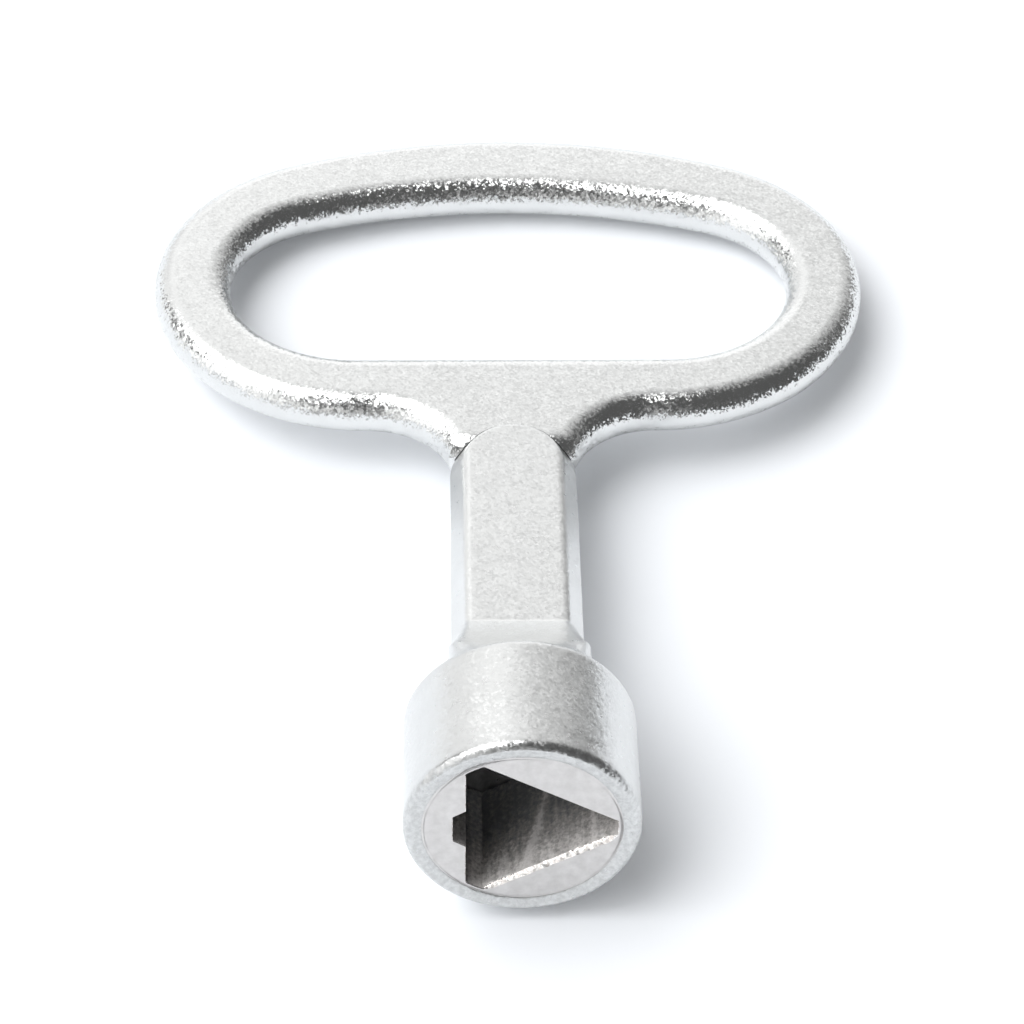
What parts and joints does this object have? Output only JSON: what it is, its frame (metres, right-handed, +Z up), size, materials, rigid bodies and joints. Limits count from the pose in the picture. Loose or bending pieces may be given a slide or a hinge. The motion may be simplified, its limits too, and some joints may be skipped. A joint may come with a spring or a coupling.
{
  "type": "triangular socket key",
  "caption": "T-shaped service key: D-shaped finger loop, flat stem and round head with a triangular socket.",
  "frame": {"origin": "on the table, under the middle of the key's box", "axes": "+Y from the socket towards the finger loop, +Z up off the table, +X the way the socket's free corner points; the key's own axis dips 5.4 degrees from the head down to the loop"},
  "size_m": [0.071, 0.0988, 0.0214],
  "materials": {
    "loop_zinc": "satin plated zinc casting with a fine sandy grain",
    "shank_zinc": "satin plated zinc casting with a fine sandy grain",
    "insert_steel": "satin plated, slightly warmer than the body, dark inside the socket"
  },
  "bodies": {
    "root": {"loop_handle": "loop_zinc", "shank": "shank_zinc", "socket_insert": "insert_steel"}
  },
  "joints": []
}
